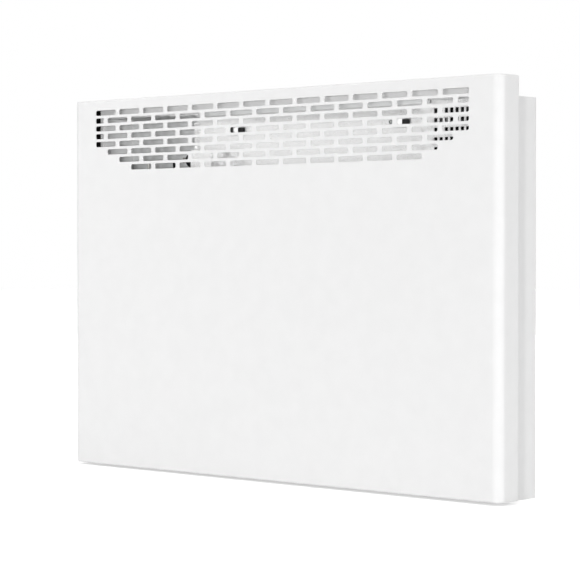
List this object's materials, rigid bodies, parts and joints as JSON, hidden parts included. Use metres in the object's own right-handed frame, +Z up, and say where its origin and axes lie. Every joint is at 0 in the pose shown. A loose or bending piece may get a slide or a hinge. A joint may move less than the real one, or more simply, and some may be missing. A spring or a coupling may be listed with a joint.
{
  "type": "wall panel convector heater",
  "caption": "Slim wall convector heater: white folded cover with a slotted outlet grille, rear casing, finned element in a sheet duct, thermostat dial and rocker switch on top.",
  "frame": {"origin": "middle of the footprint at the level of the underside", "axes": "+X along the width to the control end, -Y out of the front, +Y into the wall, +Z up"},
  "size_m": [0.64, 0.086, 0.43],
  "materials": {
    "enamel": "white baked enamel, satin",
    "galvanised": "galvanised sheet, dull spangle",
    "bright_sheet": "bright rolled sheet",
    "fin_aluminium": "plain extruded and sawn",
    "sheath_steel": "plain",
    "ceramic": "glazed ceramic look",
    "dark_plastic": "moulded, fine texture",
    "knob_plastic": "moulded, fine texture",
    "switch_black": "moulded, glossy",
    "lamp_amber": "clear moulded lens",
    "tab_brass": "stamped",
    "wire_insulation": "extruded heat-proof insulation"
  },
  "bodies": {
    "chassis": {"front_cover": "enamel", "rear_casing": "enamel", "back_panel": "galvanised", "rear_reflector": "bright_sheet", "hanger_clips": "dark_plastic", "control_housing": "galvanised", "vent_plate": "galvanised", "front_baffle": "galvanised", "element_bracket_left": "galvanised", "element_bracket_right": "galvanised", "element_fins": "fin_aluminium", "element_sheath": "sheath_steel", "element_bushes": "ceramic", "element_terminals": "tab_brass", "cutout_bracket": "galvanised", "thermal_cutout": "dark_plastic", "cutout_tabs": "tab_brass", "thermostat_body": "dark_plastic", "thermostat_nut": "sheath_steel", "switch_frame": "switch_black", "pilot_lamp": "lamp_amber", "terminal_block": "ceramic", "control_tabs": "tab_brass", "wire_element_cutout": "wire_insulation", "wire_cutout_switch": "wire_insulation", "wire_element_thermostat": "wire_insulation", "wire_supply": "wire_insulation", "inlet_bush": "dark_plastic", "cord_clamp": "dark_plastic", "earth_stud": "tab_brass", "earth_nut": "tab_brass"},
    "dial": {"thermostat_spindle": "sheath_steel", "thermostat_knob": "knob_plastic"},
    "rocker": {"switch_rocker": "switch_black"}
  },
  "joints": [
    {"name": "dial_turn", "type": "hinge", "parent": "chassis", "child": "dial", "pos_m": [0.27, 0.017, 0.42], "axis": [0, 0, -1], "range_deg": [0, 270]},
    {"name": "rocker_tip", "type": "hinge", "parent": "chassis", "child": "rocker", "pos_m": [0.231, 0.017, 0.409], "axis": [0, 1, 0], "range_deg": [0, 14]}
  ]
}
